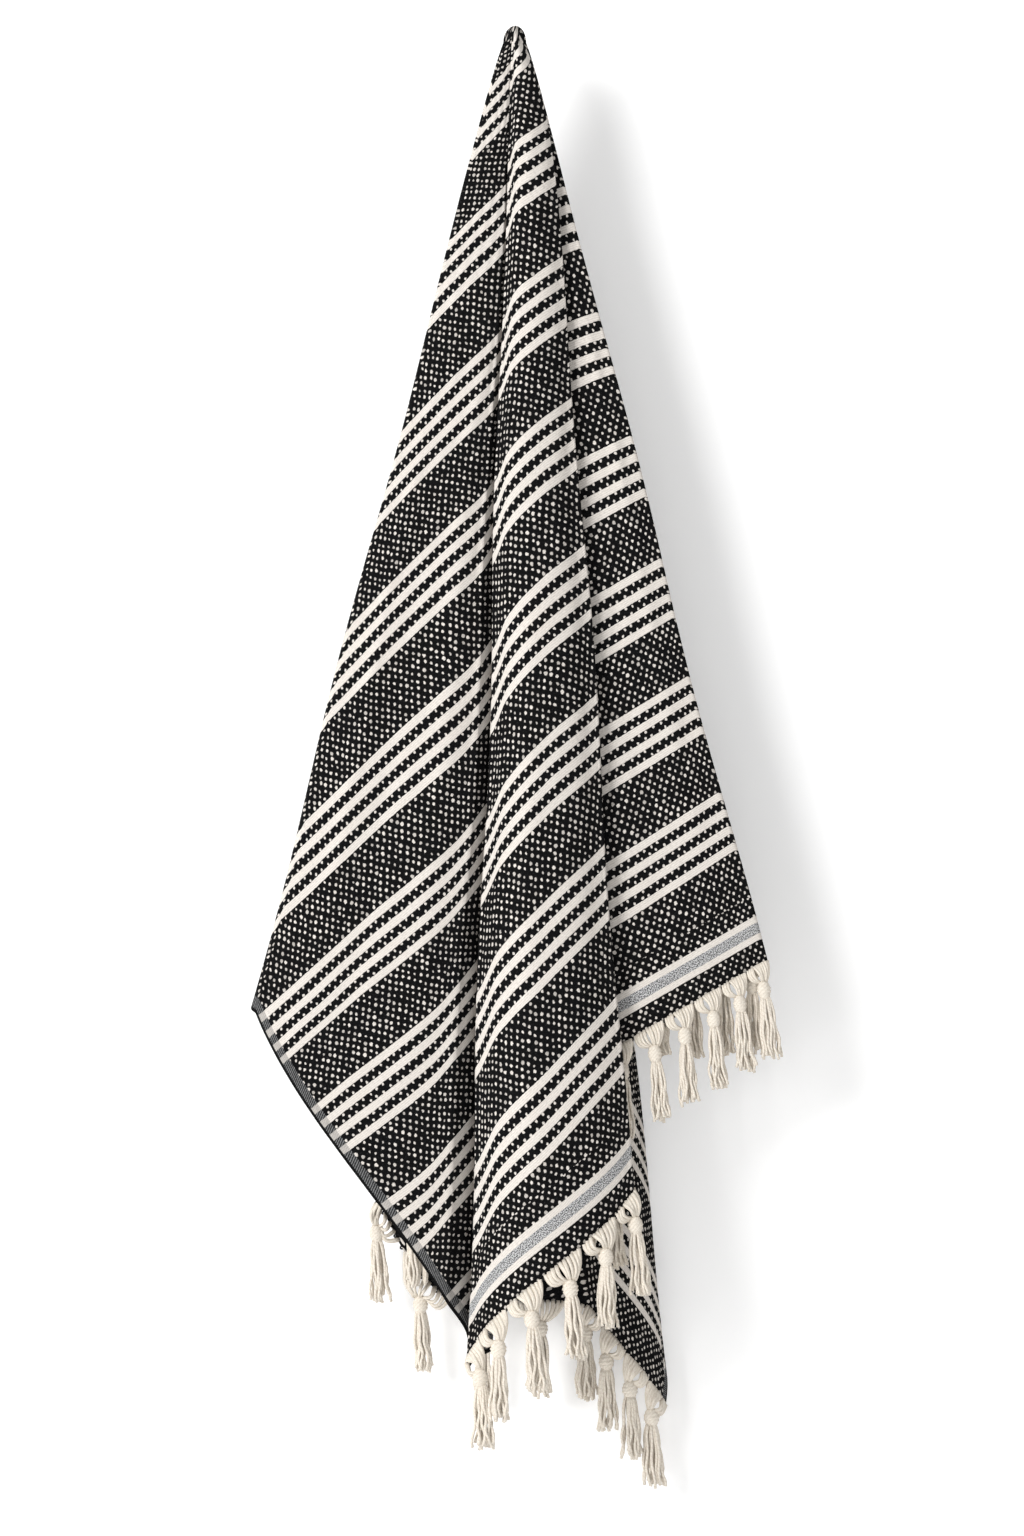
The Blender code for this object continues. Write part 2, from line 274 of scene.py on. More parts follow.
# Soft creases and swellings of the front cloth. Each lies along a ray, is so many degrees wide, runs
# from one drop to another and stands so far forward, or lies back where its rise is negative.
Crease = collections.namedtuple("Crease", "fan wide drop_from drop_to rise")
CREASES = (
    Crease(42.0, 1.6, 0.20, 1.10, 0.0030),
    Crease(37.0, 1.2, 0.45, 1.02, -0.0022),
    Crease(33.5, 1.0, 0.30, 0.95, 0.0022),
    Crease(44.6, 0.5, 0.10, 0.80, -0.0012),
    Crease(56.6, 0.7, 0.15, 1.05, -0.0024),
    Crease(52.3, 0.8, 0.45, 1.20, 0.0022),
    Crease(49.9, 0.4, 0.30, 1.15, -0.0016),
    Crease(78.6, 0.9, 0.15, 0.85, 0.0024),
    Crease(75.0, 0.8, 0.35, 0.90, -0.0020),
    Crease(71.0, 0.9, 0.25, 0.88, 0.0016),
    Crease(-57.5, 0.9, 0.60, 1.20, -0.0020),
    Crease(-60.5, 0.8, 0.55, 1.15, 0.0018),
)
RIPPLE = 0.0006
RIPPLE_DROP = 0.085
RIPPLE_FAN = 5.5


def crease_rise(fan, drop):
    rise = 0.0
    for crease in CREASES:
        if crease.drop_from < drop < crease.drop_to:
            run = math.sin(math.pi * (drop - crease.drop_from) / (crease.drop_to - crease.drop_from))
            rise += crease.rise * run * math.exp(-(((fan - crease.fan) / crease.wide) ** 2))
    near_top = min(1.0, drop / RIPPLE_DROP)
    ripple = math.sin(drop / RIPPLE_DROP * math.tau + fan) * math.sin(fan * math.tau / RIPPLE_FAN)
    return rise + RIPPLE * near_top * ripple


def draped_point(fan, drop):
    return hung_point(fan, drop) + Vector((0.0, -crease_rise(fan, drop), 0.0))


# --- Where the stripes fall ---

# The drops at which the middles of five groups of bands cross a layer, so far across it from its first
# edge. Group 7 is the last before the end band. In the hung towel the groups don't quite follow the
# straight lines that they have in the flat one.
Ruler = collections.namedtuple("Ruler", "layer place group_0 group_1 group_3 group_5 group_7")
RULERS = (
    Ruler("side flap", 0.0, -0.040, 0.104, 0.322, 0.540, 0.758),
    Ruler("side flap", 1.0, -0.060, 0.058, 0.294, 0.524, 0.741),
    Ruler("right panel", 0.0, -0.061, 0.056, 0.292, 0.522, 0.739),
    Ruler("right panel", 0.3, -0.060, 0.060, 0.300, 0.543, 0.771),
    Ruler("right panel", 0.6, -0.058, 0.065, 0.310, 0.565, 0.804),
    Ruler("right panel", 1.0, -0.054, 0.072, 0.324, 0.597, 0.846),
    Ruler("middle panel", 0.0, -0.003, 0.113, 0.378, 0.656, 0.939),
    Ruler("middle panel", 0.12, 0.000, 0.116, 0.384, 0.666, 0.954),
    Ruler("middle panel", 0.5, 0.005, 0.126, 0.404, 0.697, 1.003),
    Ruler("middle panel", 0.87, 0.012, 0.137, 0.432, 0.740, 1.053),
    Ruler("middle panel", 1.0, 0.020, 0.155, 0.456, 0.772, 1.090),
    Ruler("left tuck", 0.0, 0.024, 0.163, 0.470, 0.792, 1.114),
    Ruler("left tuck", 1.0, 0.025, 0.165, 0.472, 0.795, 1.118),
    Ruler("left valley", 0.0, 0.050, 0.166, 0.451, 0.757, 1.046),
    Ruler("left valley", 1.0, 0.055, 0.173, 0.467, 0.779, 1.069),
    Ruler("left panel", 0.0, 0.055, 0.173, 0.467, 0.779, 1.069),
    Ruler("left panel", 0.1, 0.058, 0.178, 0.478, 0.799, 1.096),
    Ruler("left panel", 0.3, 0.063, 0.188, 0.498, 0.831, 1.133),
    Ruler("left panel", 0.5, 0.069, 0.197, 0.522, 0.863, 1.170),
    Ruler("left panel", 0.7, 0.074, 0.209, 0.549, 0.903, 1.211),
    Ruler("left panel", 0.9, 0.081, 0.222, 0.582, 0.947, 1.258),
    Ruler("left panel", 1.0, 0.085, 0.230, 0.600, 0.969, 1.283),
)
RULED_GROUPS = (0, 1, 3, 5, 7)
RULER_END = -8.0
BACK_START = -27.0
LAST_AT_BACK = -8
LAST_TO_BACK_END = 0.075


def group_on_ruler(ruler, drop):
    """The group's number at a drop, by straight stretches from one ruled group to the next."""
    marks = (ruler.group_0, ruler.group_1, ruler.group_3, ruler.group_5, ruler.group_7)
    for k in range(len(marks) - 1):
        if drop < marks[k + 1] or k == len(marks) - 2:
            part = (drop - marks[k]) / (marks[k + 1] - marks[k])
            return mix(RULED_GROUPS[k], RULED_GROUPS[k + 1], part)


def flat_group(cloth, weave, fan, along):
    """The group's number in the true flat cloth, counted from the nearer short end."""
    front = RULED_GROUPS[-1] + (along - cloth.length_front + weave.repeat) / weave.repeat
    back = LAST_AT_BACK + (along + cloth.length_back - LAST_TO_BACK_END) / weave.repeat
    part = min(1.0, max(0.0, (RULER_END - fan) / (RULER_END - BACK_START)))
    return mix(front, back, part)


def group_on_layer(rulers, place, drop):
    """The group's number so far across a ruled layer, by a smooth curve over its rulers."""
    marks = [(ruler.place, group_on_ruler(ruler, drop)) for ruler in rulers]
    last = len(marks) - 1
    index = max(k for k in range(last) if place >= marks[k][0] or k == 0)
    around = (max(index - 1, 0), index, index + 1, min(index + 2, last))
    return smooth_curve([marks[k] for k in around], place)


def group_at(cloth, weave, fan, drop, along):
    start_fan, start = 90.0, RULERS[0]
    for layer in LAYERS:
        rulers = [ruler for ruler in RULERS if ruler.layer == layer.name]
        if rulers and fan > layer.fan_from:
            part = (start_fan - fan) / (start_fan - layer.fan_from)
            return mix(group_on_ruler(start, drop), group_on_ruler(rulers[0], drop), part)
        if rulers and fan >= layer.fan_to:
            return group_on_layer(rulers, across_layer(layer, fan)[0], drop)
        if rulers:
            start_fan, start = layer.fan_to, rulers[-1]
    flat = flat_group(cloth, weave, fan, along)
    part = min(1.0, (start_fan - fan) / (start_fan - RULER_END))
    return mix(group_on_ruler(start, drop), flat, math.sqrt(part))


def smooth_curve(marks, place):
    """The height of a smooth curve through four marks, between the second and the third."""
    (x0, y0), (x1, y1), (x2, y2), (x3, y3) = marks
    run = x2 - x1
    slope_1 = (y2 - y0) / (x2 - x0) * run
    slope_2 = (y3 - y1) / (x3 - x1) * run
    return smooth(y1, y2, slope_1, slope_2, (place - x1) / run)


# --- Meshes ---


def placed(name, data):
    """A new object with this data, in the scene."""
    made = bpy.data.objects.new(name, data)
    bpy.context.scene.collection.objects.link(made)
    return made


class Knit:
    """Gathers points, faces and each point's two pairs of surface coordinates for one mesh."""

    def __init__(self):
        self.points, self.faces, self.first, self.second = [], [], [], []

    def add(self, point, first, second=(0.0, 0.0)):
        self.points.append(tuple(point))
        self.first.append(first)
        self.second.append(second)
        return len(self.points) - 1

    def close(self, rings):
        """Adds the faces between rings of points, and one over each end."""
        sides = len(rings[0])
        for upper, lower in zip(rings, rings[1:]):
            for side in range(sides):
                after = (side + 1) % sides
                self.faces.append((upper[side], upper[after], lower[after], lower[side]))
        self.faces.append(tuple(rings[0][::-1]))
        self.faces.append(tuple(rings[-1]))

    def piece(self, name, material, maps):
        mesh = bpy.data.meshes.new(name)
        mesh.from_pydata(self.points, [], self.faces)
        corners = [loop.vertex_index for loop in mesh.loops]
        for title, values in zip(maps, (self.first, self.second)):
            layer = mesh.uv_layers.new(name=title)
            layer.data.foreach_set("uv", [part for corner in corners for part in values[corner]])
        mesh.materials.append(material)
        mesh.shade_smooth()
        return placed(name, mesh)


def cloth_fans(cloth):
    """Fan angles of the columns, from the front end's near selvedge to the back one's."""
    fans = set(corner_fans(cloth))
    for index, layer in enumerate(LAYERS):
        columns = max(2, round((layer.fan_from - layer.fan_to) * cloth.columns_a_degree * layer.fine))
        fans |= {mix(layer.fan_from, layer.fan_to, step / columns) for step in range(columns + 1)}
        if index:
            start, steps = LAYERS[index - 1].fan_to, cloth.fold_columns
            fans |= {mix(start, layer.fan_from, k / steps) for k in range(1, steps)}
    return sorted(fans, reverse=True)


CROWN_RINGS = 6
CROWN_HEIGHT = 0.006


def crown_point(fan, ring):
    """A point of the closed top, where the bunch draws together over the hanging point."""
    turn = math.pi / 2 * ring / CROWN_RINGS
    rim = draped_point(fan, 0.0)
    lift = (CROWN_HEIGHT - rim.z) * math.cos(turn)
    return Vector((rim.x * math.sin(turn), rim.y * math.sin(turn), rim.z + lift))


def crown_map(cloth, weave, fan, ring):
    """Where a point of the closed top lies in the weave, which runs on over it from the front."""
    point, rim = crown_point(fan, ring), draped_point(fan, 0.0)
    group = group_at(cloth, weave, fan, rim.z - point.z, 0.0)
    return (-point.x, group * weave.repeat), (cloth.width / 2, cloth.length_front)


# Within BUNCHED of the hanging point the selvedge is drawn into the bunch. The back end shows its
# closing band only at its far corner: beyond BAND_END_FAN its weave is that of places BAND_HIDDEN
# further from the end.
BUNCHED = 0.10
BAND_END_FAN = -50.0
BAND_HIDDEN = 0.3


def weave_map(cloth, weave, fan, drop, part):
    """Where a point lies in the weave: across it, along it, and from the selvedge and the end."""
    reach = flat_reach(cloth, fan) * part
    angle = math.radians(fan)
    across, along = reach * math.cos(angle), reach * math.sin(angle)
    group = group_at(cloth, weave, fan, drop, along)
    from_end = end_length(cloth, fan) - abs(along)
    from_end += BAND_HIDDEN * min(1.0, max(0.0, (BAND_END_FAN - fan) / BAND_HIDDEN))
    from_side = min(across + max(0.0, BUNCHED - reach), cloth.width - across)
    top_x, shoulder = beside_ray(ray_at(fan), drop)
    return (across - top_x - shoulder, group * weave.repeat), (from_side, from_end)


def build_cloth(cloth, weave, material):
    fans = cloth_fans(cloth)
    drops = [hung_drop(cloth, fan) for fan in fans]
    knit = Knit()
    wide = len(fans)
    for ring in range(1, CROWN_RINGS):
        for fan in fans:
            knit.add(crown_point(fan, ring), *crown_map(cloth, weave, fan, ring))
    for row in range(cloth.rows + 1):
        part = row / cloth.rows
        for fan, drop in zip(fans, drops):
            maps = weave_map(cloth, weave, fan, drop * part, part)
            knit.add(draped_point(fan, drop * part), *maps)
    high = CROWN_RINGS + cloth.rows
    for i in range(high - 1):
        for j in range(wide - 1):
            corner = i * wide + j
            knit.faces.append((corner, corner + 1, corner + wide + 1, corner + wide))
    made = knit.piece("towel_cloth_woven", material, ("weave", "edges"))
    solid = made.modifiers.new("thickness", "SOLIDIFY")
    solid.thickness = cloth.thickness
    solid.offset = 0.0
    return made


# --- The fringes ---


def outward(cloth, fan):
    """Unit vector in the cloth, square to its end edge and away from it."""
    step = math.copysign(SMALL_TURN, fan)
    beside = fan + step if abs(fan) < 90 - SMALL_TURN else fan - step
    end = hung_point(fan, hung_drop(cloth, fan))
    edge = (hung_point(beside, hung_drop(cloth, beside)) - end).normalized()
    ray = (hung_point(fan, hung_drop(cloth, fan) + SMALL_DROP) - end).normalized()
    return (ray - edge * ray.dot(edge)).normalized()


def edge_at(cloth, side, across):
    """The point of a short end at a distance from its near selvedge, and the fan angle there."""
    fan = math.copysign(math.degrees(math.atan2(end_length(cloth, side), across)), side)
    return draped_point(fan, hung_drop(cloth, fan)), fan


TASSEL_START = 0.64
TASSEL_FINISH = 0.5
FRONT, BACK = 1, -1
FRINGE_SEEDS = {FRONT: 11, BACK: 23}
LOOP_SEEDS = {FRONT: 5, BACK: 7}
SIDE_NAMES = {FRONT: "front", BACK: "back"}


def tassel_places(cloth, fringe):
    """Each tassel's distance from the near selvedge and its share of the edge, which grows steadily."""
    scale = cloth.width / (fringe.growth - 1)
    steps = fringe.tassels - 1 + TASSEL_START + TASSEL_FINISH
    places = []
    for k in range(fringe.tassels):
        grown = fringe.growth ** ((k + TASSEL_START) / steps)
        places.append((scale * (grown - 1), scale * grown * math.log(fringe.growth) / steps))
    return places


def add_tube(knit, path, radii, sides, start, twist=1.0, lines=1):
    """A closed tube along the path, with the length along it and the turn round it as coordinates."""
    rings, run = [], 0.0
    for k, centre in enumerate(path):
        after, before = path[min(k + 1, len(path) - 1)], path[max(k - 1, 0)]
        ahead = (after - before).normalized()
        across = ahead.cross(Vector((0.0, 1.0, 0.0)))
        across = across.normalized() if across.length > SMALL_DROP else Vector((1.0, 0.0, 0.0))
        deep = ahead.cross(across).normalized()
        if k:
            run += (centre - path[k - 1]).length
        ring = []
        for side in range(sides):
            turn = math.tau * side / sides
            offset = across * math.cos(turn) * radii[k] + deep * math.sin(turn) * radii[k]
            ring.append(knit.add(centre + offset, ((run + start) * twist, lines * side / sides)))
        rings.append(ring)
    knit.close(rings)


# Where one tassel hangs: its root on the edge, the direction square to the edge, its distance along the
# edge and its share of it, its own directions, and how large it is beside a common one.
Hang = collections.namedtuple("Hang", "root square along spacing down across deep size")
COMMON_SPACING = 0.035
LENGTH_GROWTH = 0.35
THICKNESS_GROWTH = 0.6
TASSEL_LEAN = 0.05
TASSEL_SWING = 0.05
YARN_STARTS = 0.05

# The knot: a wrapped barrel, whose wraps tilt. It covers the lower end of the root.
KNOT_RINGS = 22
KNOT_SIDES = 14
KNOT_WRAPS = 4.6
KNOT_GROOVE = 0.13
KNOT_TILT = 0.35
KNOT_TILTS = (0.6, 1.2)
KNOT_FLATNESS = 0.85
KNOT_FROM = 0.92
KNOT_TAPER = 0.10
KNOT_BLUNT = 0.55
KNOT_ROUND = 0.04

# The root: pleats of yarn from the edge to the knot, the outer ones bowed out sideways. The rise of a
# shallow arc is the root of 3/8 of its chord times its slack.
ROOT_SPREAD = 0.95
ROOT_GATHER = 0.30
ROOT_STEPS = 7
ROOT_SLACK = 1.04
ROOT_LEAVING = 0.55
PLEAT_SIDES = 6
PLEAT_LINES = 3
PLEAT_TWIST = 0.15
PLEAT_BOW = 0.8
PLEAT_EDGEWARD = 0.6
PLEAT_STAGGER = 0.0012
PLEAT_FULL = (1.0, 1.2)
PLEAT_TOP = 1.1
PLEAT_BOTTOM = 0.62
SHALLOW_ARC = 3 / 8

# The skirt: strands that come from inside the knot, flare and waver. The first third lie inside.
STRAND_STEPS = 11
STRAND_SIDES = 6
STRAND_WAVE = 0.0017
STRAND_SWAY = 0.7
STRAND_WAVES = (1.2, 2.4)
STRAND_DRIFT = 0.0022
STRAND_UNEVEN = 0.006
STRAND_LONGER = 0.4
STRAND_THINNING = 0.12
STRAND_TIP = 1.15
SKIRT_FROM = 0.80
SKIRT_TOP = 0.74
SKIRT_BOTTOM = 1.36
SKIRT_EARLY = 0.7
SKIRT_FLATNESS = 0.85
THROAT_RUN = 0.12
THROAT_WIDTH = 0.72
THROAT_OPENING = 2.3
INNER_OUT = 0.35
OUTER_OUT = 0.85
OUT_SHARES = (0.85, 1.15)
GOLDEN_TURN = 0.618
TURN_UNEVEN = 0.04


def knot_point(hang, fringe, run):
    """The tassel's middle line: it leaves square to the edge, then hangs straight down."""
    leaving = min(run, fringe.root * hang.size) * ROOT_LEAVING
    return hang.root + hang.square * leaving + hang.down * (run - leaving)


def add_knot(knit, hang, fringe, draw):
    top = knot_point(hang, fringe, fringe.root * hang.size * KNOT_FROM)
    start = draw.uniform(0.0, math.tau)
    tilt = KNOT_TILT * draw.choice((-1.0, 1.0)) * draw.uniform(*KNOT_TILTS)
    rings = []
    for ring in range(KNOT_RINGS + 1):
        part = ring / KNOT_RINGS
        body = math.sin(math.pi * mix(KNOT_TAPER, 1 - KNOT_TAPER, part)) ** KNOT_BLUNT
        row = []
        for side in range(KNOT_SIDES):
            turn = math.tau * side / KNOT_SIDES
            wrap = part * KNOT_WRAPS + tilt * math.sin(turn + start)
            groove = 1 - KNOT_GROOVE * (1 - abs(math.sin(math.pi * wrap)))
            radius = fringe.knot_radius * hang.size * body * groove
            out = hang.across * math.cos(turn) + hang.deep * math.sin(turn) * KNOT_FLATNESS
            spot = top + hang.down * fringe.knot * part + out * radius
            row.append(knit.add(spot, (side / KNOT_SIDES * KNOT_ROUND, wrap)))
        rings.append(row)
    knit.close(rings)


def root_starts(cloth, fringe, side, hang):
    """Where the pleats of a root leave the edge, each with its place across the root."""
    for k in range(fringe.pleats):
        part = (k + 0.5) / fringe.pleats - 0.5
        across = hang.along + part * hang.spacing * ROOT_SPREAD
        across = min(max(across, SMALL_DROP), cloth.width - SMALL_DROP)
        start, fan = edge_at(cloth, side, across)
        yield start - outward(cloth, fan) * SMALL_DROP, part


def add_pleat(knit, hang, fringe, chord, longest, draw):
    """One pleat, along an arc that is as long as every other pleat's."""
    start, end, part, stagger = chord
    across = end - start
    rise = math.sqrt(SHALLOW_ARC * across.length * (longest - across.length)) * PLEAT_BOW
    beside = across.cross(hang.deep).normalized()
    beside = beside if beside.dot(hang.square) > 0 else -beside
    edgeward = min(1.0, 2 * abs(part))
    bulge = (beside * edgeward - hang.deep * (1.0 - PLEAT_EDGEWARD * edgeward)).normalized()
    end = end + hang.deep * stagger
    steps = [step / ROOT_STEPS for step in range(ROOT_STEPS + 1)]
    path = [start.lerp(end, run) + bulge * rise * math.sin(math.pi * run) for run in steps]
    thick = hang.spacing * ROOT_SPREAD / fringe.pleats * 0.5 * draw.uniform(*PLEAT_FULL)
    radii = [thick * mix(PLEAT_TOP, PLEAT_BOTTOM, run) for run in steps]
    add_tube(knit, path, radii, PLEAT_SIDES, draw.uniform(0.0, YARN_STARTS), PLEAT_TWIST, PLEAT_LINES)


def add_root(knit, hang, cloth, fringe, side, draw):
    """The splayed yarns between the edge and the knot. All are as long, so the slack ones bow out."""
    throat = knot_point(hang, fringe, fringe.root * hang.size)
    chords = []
    for k, (start, part) in enumerate(root_starts(cloth, fringe, side, hang)):
        lateral = (start - hang.root).dot(hang.across)
        end = throat + hang.across * lateral * ROOT_GATHER
        chords.append((start, end, part, PLEAT_STAGGER * (k % 2)))
    longest = max((end - start).length for start, end, *_ in chords) * ROOT_SLACK
    for chord in chords:
        add_pleat(knit, hang, fringe, chord, longest, draw)


def add_strand(knit, hang, fringe, number, draw):
    neck = fringe.root * hang.size + fringe.knot * SKIRT_FROM
    whole = fringe.length * mix(1.0, hang.size, LENGTH_GROWTH)
    thick = fringe.strand_radius * mix(1.0, hang.size, THICKNESS_GROWTH)
    turn = math.tau * (number * GOLDEN_TURN + draw.uniform(-TURN_UNEVEN, TURN_UNEVEN))
    out = (INNER_OUT if number < fringe.strands // 3 else OUTER_OUT) * draw.uniform(*OUT_SHARES)
    across = math.cos(turn) * out
    deep = math.sin(turn) * out * KNOT_FLATNESS * SKIRT_FLATNESS
    run = whole - neck + draw.uniform(-STRAND_UNEVEN, STRAND_UNEVEN * STRAND_LONGER)
    waves = draw.uniform(*STRAND_WAVES)
    wave_at, sway_at = draw.uniform(0.0, math.tau), draw.uniform(0.0, math.tau)
    drift = draw.uniform(-STRAND_DRIFT, STRAND_DRIFT)
    path, radii = [], []
    for step in range(STRAND_STEPS + 1):
        part = step / STRAND_STEPS
        flare = mix(SKIRT_TOP, SKIRT_BOTTOM, part ** SKIRT_EARLY) * fringe.knot_radius * hang.size
        if part < THROAT_RUN:
            flare *= THROAT_WIDTH + part * THROAT_OPENING
        wave = STRAND_WAVE * part * math.sin(math.tau * waves * part + wave_at)
        sway = STRAND_WAVE * STRAND_SWAY * part * math.sin(math.tau * waves * part + sway_at)
        spot = knot_point(hang, fringe, neck + run * part)
        spot = spot + hang.across * (across * flare + wave + drift * part * part)
        path.append(spot + hang.deep * (deep * flare + sway))
        radii.append(thick * (1.0 - STRAND_THINNING * part))
    radii[-1] *= STRAND_TIP
    add_tube(knit, path, radii, STRAND_SIDES, draw.uniform(0.0, YARN_STARTS))


def tassel_hang(cloth, side, place, spacing, draw):
    root, fan = edge_at(cloth, side, place)
    lean = (ray_at(fan).level - MIDDLE_LEVEL) * LAYER_PITCH_GROWTH
    swing = draw.uniform(-TASSEL_SWING, TASSEL_SWING)
    down = Vector((TASSEL_LEAN + swing, lean, -1.0)).normalized()
    across = down.cross(Vector((0.0, 1.0, 0.0))).normalized()
    deep = across.cross(down).normalized()
    size = math.sqrt(spacing / COMMON_SPACING)
    return Hang(root, outward(cloth, fan), place, spacing, down, across, deep, size)


def build_fringe(cloth, fringe, side, material):
    draw = random.Random(FRINGE_SEEDS[side])
    knit = Knit()
    for place, spacing in tassel_places(cloth, fringe):
        hang = tassel_hang(cloth, side, place, spacing, draw)
        add_root(knit, hang, cloth, fringe, side, draw)
        add_knot(knit, hang, fringe, draw)
        for number in range(fringe.strands):
            add_strand(knit, hang, fringe, number, draw)
    return knit.piece("tassels_" + SIDE_NAMES[side], material, ("strand",))


LOOP_PITCH = 0.0052
LOOP_SHIFT = 0.0006
LOOP_WIDE = 0.0026
LOOP_OUT = 0.0021
LOOP_OUTS = (0.75, 1.2)
LOOP_SUNK = 0.0004
LOOP_RADIUS = 0.0010
LOOP_RADII = (0.9, 1.1)
LOOP_STEPS = 4
LOOP_SIDES = 5


def build_edge_loops(cloth, side, material):
    """The little loops of dark weft that stand out along a short end."""
    draw = random.Random(LOOP_SEEDS[side])
    knit = Knit()
    for k in range(round(cloth.width / LOOP_PITCH)):
        across = (k + 0.5) * LOOP_PITCH + draw.uniform(-LOOP_SHIFT, LOOP_SHIFT)
        centre, fan = edge_at(cloth, side, across)
        beside = (edge_at(cloth, side, across + SMALL_DROP)[0] - centre).normalized()
        square = outward(cloth, fan)
        out = LOOP_OUT * draw.uniform(*LOOP_OUTS)
        path = []
        for step in range(LOOP_STEPS + 1):
            turn = math.pi * step / LOOP_STEPS
            sideways = beside * math.cos(turn) * LOOP_WIDE / 2
            path.append(centre + sideways + square * (math.sin(turn) * out - LOOP_SUNK))
        radii = [LOOP_RADIUS * draw.uniform(*LOOP_RADII)] * (LOOP_STEPS + 1)
        add_tube(knit, path, radii, LOOP_SIDES, 0.0)
    return knit.piece("edge_loops_" + SIDE_NAMES[side], material, ("strand",))


# --- Materials ---


class Wiring:
    """Short ways to add nodes to one tree."""

    def __init__(self, tree):
        self.tree = tree

    def fill(self, made, inputs):
        """Links or sets a node's inputs, given by name or number."""
        for key, value in inputs.items():
            if isinstance(value, bpy.types.NodeSocket):
                self.tree.links.new(value, made.inputs[key])
            else:
                made.inputs[key].default_value = value

    def wired(self, kind, inputs=None, **settings):
        """The outputs of a new node with these inputs and settings."""
        made = self.tree.nodes.new(kind)
        for key, value in settings.items():
            setattr(made, key, value)
        self.fill(made, inputs or {})
        return made.outputs

    def maths(self, operation, *values):
        return self.wired("ShaderNodeMath", dict(enumerate(values)), operation=operation)[0]

    def times(self, first, second):
        return self.maths("MULTIPLY", first, second)

    def less(self, first, second):
        return self.maths("SUBTRACT", first, second)

    def over(self, first, second):
        return self.maths("DIVIDE", first, second)

    def swayed(self, onto, value, by):
        """A number, moved either way by how far the value is off a half."""
        return self.maths("MULTIPLY_ADD", self.less(value, 0.5), by, onto)

    def blend(self, part, first, second):
        """A colour from the first to the second by the part."""
        inputs = {"Factor": part, 6: first, 7: second}
        return self.wired("ShaderNodeMix", inputs, data_type="RGBA", clamp_factor=True)[2]

    def choose(self, part, first, second):
        """A number from the first to the second by the part."""
        inputs = {"Factor": part, 2: first, 3: second}
        return self.wired("ShaderNodeMix", inputs, data_type="FLOAT", clamp_factor=True)[0]

    def ramp(self, value, low, high, end=1.0):
        """A soft step from 0 to the end, as the value goes from low to high."""
        inputs = {"Value": value, "From Min": low, "From Max": high, "To Max": end}
        return self.wired("ShaderNodeMapRange", inputs, interpolation_type="SMOOTHSTEP", clamp=True)[0]

    def above(self, value, edge, soft):
        return self.ramp(value, edge - soft, edge + soft)

    def below(self, value, edge, soft):
        return self.ramp(value, edge + soft, edge - soft)

    def join(self, x, y, z=0.0):
        return self.wired("ShaderNodeCombineXYZ", {0: x, 1: y, 2: z})[0]

    def split(self, vector):
        return self.wired("ShaderNodeSeparateXYZ", {0: vector})

    def noise(self, where, scale, detail=2.0):
        return self.wired("ShaderNodeTexNoise", {"Vector": where, "Scale": scale, "Detail": detail})[0]

    def chances(self, where):
        """Three numbers by chance for each place."""
        return self.split(self.wired("ShaderNodeTexWhiteNoise", {"Vector": where})["Color"])

    def bump(self, height, strength, distance):
        inputs = {"Height": height, "Strength": strength, "Distance": distance}
        return self.wired("ShaderNodeBump", inputs)[0]


def new_group(name, inputs, outputs):
    """An empty node group with named sockets, its wiring helper, its input sockets and output node."""
    group = bpy.data.node_groups.new(name, "ShaderNodeTree")
    for way, sockets in (("INPUT", inputs), ("OUTPUT", outputs)):
        for title, kind in sockets.items():
            group.interface.new_socket(title, in_out=way, socket_type="NodeSocket" + kind)
    wires = Wiring(group)
    return wires, wires.wired("NodeGroupInput"), group.nodes.new("NodeGroupOutput")


FIBRES = "cotton fibres"


def fibre_group():
    """Fine cotton fibres along a thread: a tint that varies and a height for bump. Made only once."""
    if FIBRES in bpy.data.node_groups:
        return bpy.data.node_groups[FIBRES]
    wires, given, out = new_group(
        FIBRES,
        {"Where": "Vector", "Fine": "Float", "Colour": "Color", "Shade": "Color", "Depth": "Float"},
        {"Colour": "Color", "Height": "Float"},
    )
    scaling = {0: given["Where"], "Scale": given["Fine"]}
    scaled = wires.wired("ShaderNodeVectorMath", scaling, operation="SCALE")[0]
    fine = wires.noise(scaled, 1.0, 3.0)
    part = wires.times(wires.ramp(fine, 0.62, 0.30), given["Depth"])
    wires.fill(out, {"Colour": wires.blend(part, given["Colour"], given["Shade"]), "Height": fine})
    return wires.tree


def opaque(colour_value, light=1.0):
    return (*(part * light for part in colour_value), 1.0)


# The weave's measures: the groups of bands, the soft edges and wavering of its threads, the bands that
# close a short end, the selvedge and the ribs. A grain is the scale of a noise, in features a metre.
BANDS = 4
CHECK_ROWS = 2
GROUND_PACKING = 1.06
BAND_SOFT = 0.0003
SPOT_SOFT = 0.00022
WAVER_ALONG = 0.0011
WAVER_ACROSS = 0.0022
WAVER_END = 0.0007
SPOT_ASIDE = 0.0022
SPOT_ALONG = 0.0010
SPOT_RAGGED = 0.0010
CHECK_SPREAD = 0.24
END_STRIP = 0.0215
END_CREAM = 0.0059
END_SPECKLE = 0.0097
END_SOFT = 0.0002
PLAIN_BEFORE_END = 0.018
SELVEDGE = 0.0112
SELVEDGE_CORD = 0.0028
RIB_PITCH = 0.00185
# How deep a rib groove is, and how strongly painted shade darkens it.
RIB_GROOVE_AND_SHADE = 0.48
TWILL_PITCH = 0.0024
TWILL_SHOWS = 0.42
PLY_PITCH = 0.0042
WAVER_GRAIN = 330.0
SWAY_GRAIN = 300.0
RAGGED_GRAIN = 900.0
DARK_GRAIN = 1100.0
SPECKLE_GRAIN = 1150.0
THREAD_GRAIN = 1500.0
YARN_GRAIN = 900.0

